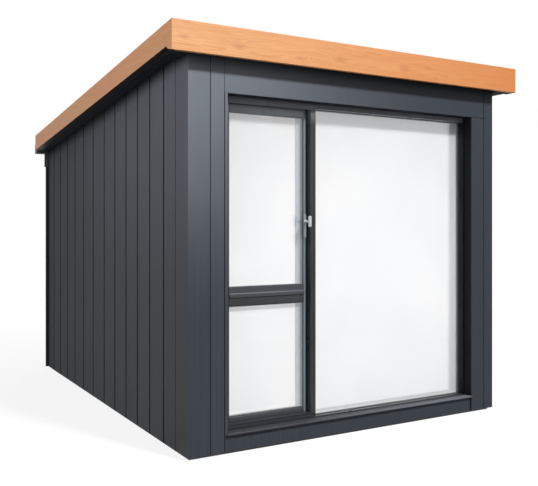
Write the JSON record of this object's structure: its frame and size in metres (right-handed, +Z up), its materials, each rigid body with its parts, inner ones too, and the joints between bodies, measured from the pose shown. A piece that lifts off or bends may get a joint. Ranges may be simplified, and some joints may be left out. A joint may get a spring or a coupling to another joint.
{
  "type": "portable site office",
  "caption": "Single-room portable office cabin with a falling roof, timber fascia, anthracite boards, large fixed pane and a glazed hinged door.",
  "frame": {"origin": "middle of the footprint of the whole cabin, on the ground", "axes": "+X to the right along the glazed front as seen from outside, +Y from the front to the rear, +Z up"},
  "size_m": [2.786, 3.514, 2.567],
  "materials": {
    "rails": "dark grey paint",
    "floor_core": "grey insulated panel",
    "floor_board": "sealed floor board",
    "wall_lining": "off-white lining",
    "side_boards": "satin anthracite",
    "front_boards": "satin anthracite",
    "corner_strips": "satin near-black",
    "window_frame": "satin anthracite",
    "threshold": "satin grey",
    "glazing": "clear double glazing",
    "blind": "white blind cloth",
    "hinge_steel": "brushed",
    "handle": "satin",
    "door_profile": "satin anthracite",
    "roof_panel": "light grey",
    "membrane": "matt sheet",
    "soffit_board": "dark stained",
    "eave_metal": "satin anthracite",
    "fascia_timber": "oiled softwood"
  },
  "bodies": {
    "cabin": {"base_end_rails": "rails", "base_side_rails": "rails", "floor_panel": "floor_core", "floor_deck": "floor_board", "left_wall": "wall_lining", "right_wall": "wall_lining", "rear_wall": "wall_lining", "front_piers": "wall_lining", "front_lintel": "wall_lining", "left_cladding": "side_boards", "right_cladding": "side_boards", "rear_cladding": "side_boards", "front_left_post": "front_boards", "front_right_post": "front_boards", "front_left_jamb_board": "front_boards", "front_right_jamb_board": "front_boards", "front_head_board": "front_boards", "front_sill_board": "front_boards", "rear_corner_strips": "corner_strips", "frame_left_jamb": "window_frame", "frame_right_jamb": "window_frame", "frame_head": "window_frame", "frame_sill": "window_frame", "frame_mullion": "window_frame", "threshold_plate": "threshold", "fixed_glass": "glazing", "fixed_blind": "blind", "frame_hinges": "hinge_steel", "roof_deck": "roof_panel", "roof_membrane": "membrane", "front_fascia": "fascia_timber", "side_fascias": "fascia_timber", "front_soffit": "soffit_board", "side_soffits": "soffit_board", "rear_fascia": "eave_metal", "rear_gutter": "eave_metal"},
    "door": {"door_left_stile": "door_profile", "door_right_stile": "door_profile", "door_top_rail": "door_profile", "door_mid_rail": "door_profile", "door_bottom_rail": "door_profile", "door_glass": "glazing", "door_blinds": "blind", "door_handle": "handle", "door_hinges": "hinge_steel"}
  },
  "joints": [
    {"name": "door_hinge", "type": "hinge", "parent": "cabin", "child": "door", "pos_m": [-0.959, -1.494, 1.147], "axis": [0, 0, 1], "range_deg": [0, 90]}
  ]
}
